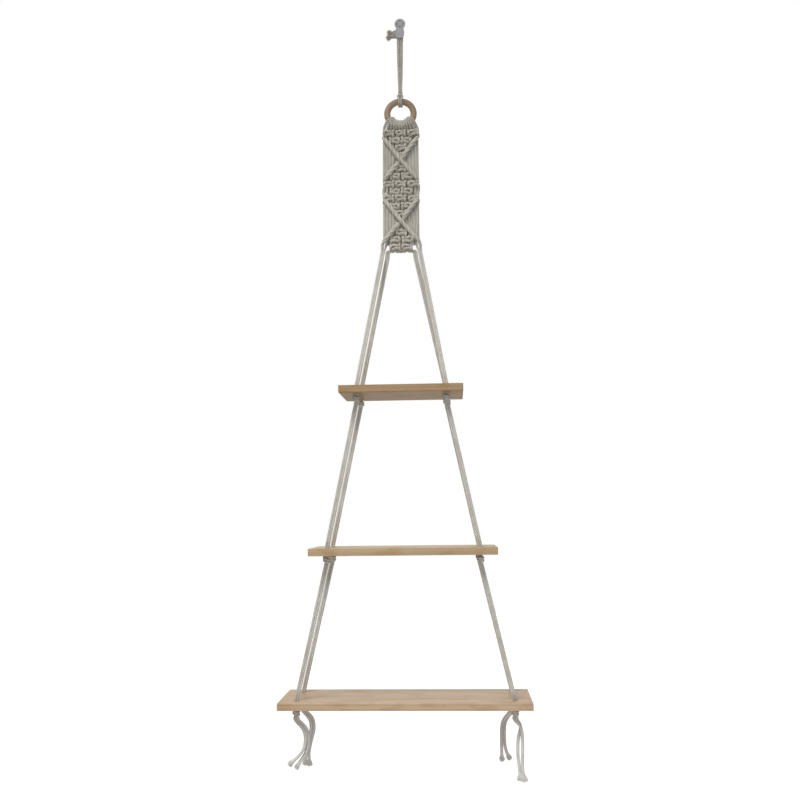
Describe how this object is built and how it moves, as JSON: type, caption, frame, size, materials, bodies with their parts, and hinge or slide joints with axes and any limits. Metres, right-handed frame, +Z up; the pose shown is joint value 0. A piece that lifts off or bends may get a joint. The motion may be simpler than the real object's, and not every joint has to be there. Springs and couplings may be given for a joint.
{
  "type": "hanging rope shelf",
  "caption": "Tiered wooden shelf on knotted cotton ropes, hung by a wooden ring, a knotted band and a cord loop from a small nailed wall hook.",
  "frame": {"origin": "centre of the round back plate's back face, where the hook meets the wall", "axes": "+Z up, +Y into the wall and square to it, +X to the right of someone who faces the shelf"},
  "size_m": [0.4, 0.1305, 1.2911],
  "materials": {
    "cotton": "twisted cotton cord, undyed",
    "board_wood": "sanded, unvarnished",
    "ring_wood": "turned, smooth",
    "hook_plastic": "satin moulding",
    "nail_steel": "dull steel"
  },
  "bodies": {
    "wall_hook": {"hook_body": "hook_plastic", "hook_nail_top": "nail_steel", "hook_nail_left": "nail_steel", "hook_nail_right": "nail_steel", "hook_nail_bottom": "nail_steel"},
    "loop": {"hanging_loop": "cotton"},
    "upper_frame": {"wooden_ring": "ring_wood", "band_upper_net": "cotton", "band_middle_net": "cotton", "band_lower_net": "cotton", "band_upper_over_cord": "cotton", "band_upper_under_cord": "cotton", "band_lower_over_cord": "cotton", "band_lower_under_cord": "cotton", "band_upper_left_strands": "cotton", "band_upper_right_strands": "cotton", "band_lower_left_strands": "cotton", "band_lower_right_strands": "cotton", "top_rope_left_front": "cotton", "top_rope_left_back": "cotton", "top_rope_right_front": "cotton", "top_rope_right_back": "cotton", "top_shelf": "board_wood", "top_knot_left_front": "cotton", "top_knot_left_back": "cotton", "top_knot_right_front": "cotton", "top_knot_right_back": "cotton"},
    "middle_front_pair": {"middle_rope_left_front": "cotton", "middle_rope_right_front": "cotton"},
    "middle_back_pair": {"middle_rope_left_back": "cotton", "middle_rope_right_back": "cotton"},
    "middle_tier": {"middle_shelf": "board_wood", "middle_knot_left_front": "cotton", "middle_knot_left_back": "cotton", "middle_knot_right_front": "cotton", "middle_knot_right_back": "cotton"},
    "bottom_front_pair": {"bottom_rope_left_front": "cotton", "bottom_rope_right_front": "cotton"},
    "bottom_back_pair": {"bottom_rope_left_back": "cotton", "bottom_rope_right_back": "cotton"},
    "bottom_tier": {"bottom_shelf": "board_wood", "bottom_knot_left_front": "cotton", "bottom_knot_left_back": "cotton", "bottom_knot_right_front": "cotton", "bottom_knot_right_back": "cotton", "tail_left_front_a": "cotton", "tail_left_front_b": "cotton", "tail_left_back_a": "cotton", "tail_left_back_b": "cotton", "tail_right_front_a": "cotton", "tail_right_front_b": "cotton", "tail_right_back_a": "cotton", "tail_right_back_b": "cotton"}
  },
  "joints": [
    {"name": "side_swing", "type": "hinge", "parent": "wall_hook", "child": "loop", "pos_m": [0, -0.0068, -0.0185], "axis": [0, 1, 0], "range_deg": [-15, 15]},
    {"name": "forward_swing", "type": "hinge", "parent": "loop", "child": "upper_frame", "pos_m": [0, -0.01881, -0.14995], "axis": [-1, 0, 0], "range_deg": [0, 20]},
    {"name": "middle_front_ropes", "type": "hinge", "parent": "upper_frame", "child": "middle_front_pair", "pos_m": [0, -0.1035, -0.6886], "axis": [-1, 0, 0], "range_deg": [0, 15]},
    {"name": "middle_back_ropes", "type": "hinge", "parent": "upper_frame", "child": "middle_back_pair", "pos_m": [0, -0.0275, -0.6886], "axis": [-1, 0, 0], "range_deg": [0, 15]},
    {"name": "middle_shelf_level", "type": "hinge", "parent": "middle_front_pair", "child": "middle_tier", "pos_m": [0, -0.1035, -0.9187], "axis": [-1, 0, 0], "range_deg": [-15, 0]},
    {"name": "bottom_front_ropes", "type": "hinge", "parent": "middle_tier", "child": "bottom_front_pair", "pos_m": [0, -0.1035, -0.9486], "axis": [-1, 0, 0], "range_deg": [0, 15]},
    {"name": "bottom_back_ropes", "type": "hinge", "parent": "middle_tier", "child": "bottom_back_pair", "pos_m": [0, -0.0275, -0.9486], "axis": [-1, 0, 0], "range_deg": [0, 15]},
    {"name": "bottom_shelf_level", "type": "hinge", "parent": "bottom_front_pair", "child": "bottom_tier", "pos_m": [0, -0.1035, -1.1587], "axis": [-1, 0, 0], "range_deg": [-15, 0]}
  ],
  "couplings": [
    {"joint": "middle_back_ropes", "follows": "middle_front_ropes", "ratio": 1},
    {"joint": "middle_shelf_level", "follows": "middle_front_ropes", "ratio": -1},
    {"joint": "bottom_back_ropes", "follows": "bottom_front_ropes", "ratio": 1},
    {"joint": "bottom_shelf_level", "follows": "bottom_front_ropes", "ratio": -1}
  ]
}
